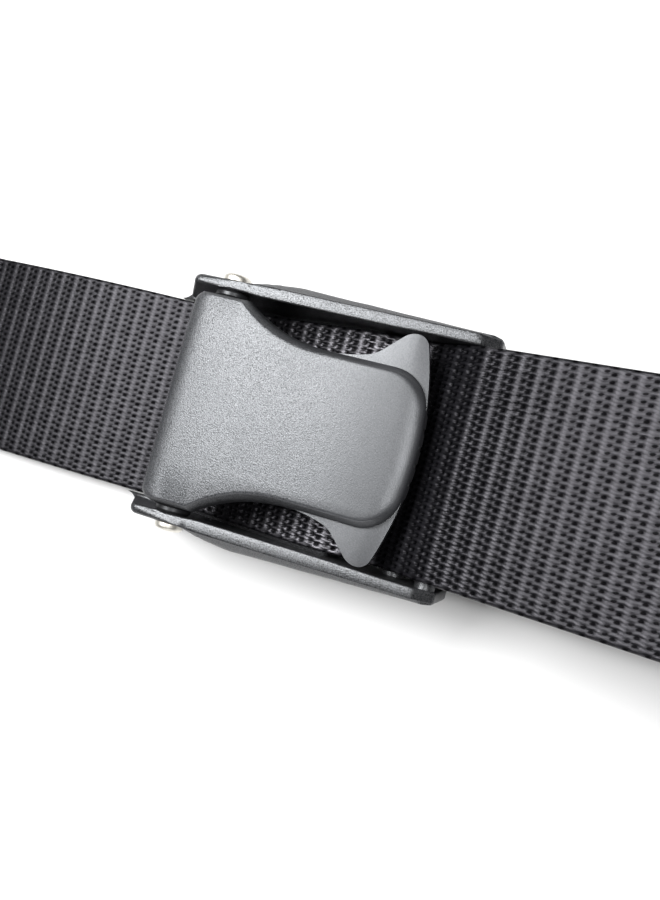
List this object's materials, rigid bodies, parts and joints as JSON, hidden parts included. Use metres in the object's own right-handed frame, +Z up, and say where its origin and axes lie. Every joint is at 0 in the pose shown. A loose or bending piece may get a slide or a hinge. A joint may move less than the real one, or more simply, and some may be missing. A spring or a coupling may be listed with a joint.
{
  "type": "dive weight belt",
  "caption": "Dive weight belt: a wide woven strap through a moulded buckle whose toothed cam lever turns on a steel pin to grip or release the strap.",
  "frame": {"origin": "on the resting face, below the middle of the buckle, at the belt's centre line", "axes": "+X along the belt towards the tail, +Y across the belt, +Z up away from the resting face"},
  "size_m": [0.3579, 0.0614, 0.056],
  "materials": {
    "frame_plastic": "finely grained charcoal moulding",
    "lever_plastic": "finely grained charcoal moulding with a soft sheen",
    "nickel": "bright nickel plate",
    "spacer_plastic": "smooth black",
    "webbing": "black ribbed nylon weave"
  },
  "bodies": {
    "belt": {"buckle_frame": "frame_plastic", "hinge_pin": "nickel", "pin_cap": "nickel", "spacer_far": "spacer_plastic", "spacer_near": "spacer_plastic", "strap_fixed_end": "webbing", "strap_under_run": "webbing", "strap_roll": "webbing", "strap_left_run": "webbing", "strap_tail": "webbing"},
    "lever": {"lever": "lever_plastic"}
  },
  "joints": [
    {"name": "lever_hinge", "type": "hinge", "parent": "belt", "child": "lever", "pos_m": [-0.0269, 0, 0.0236], "axis": [0, -1, 0], "range_deg": [0, 108]}
  ]
}
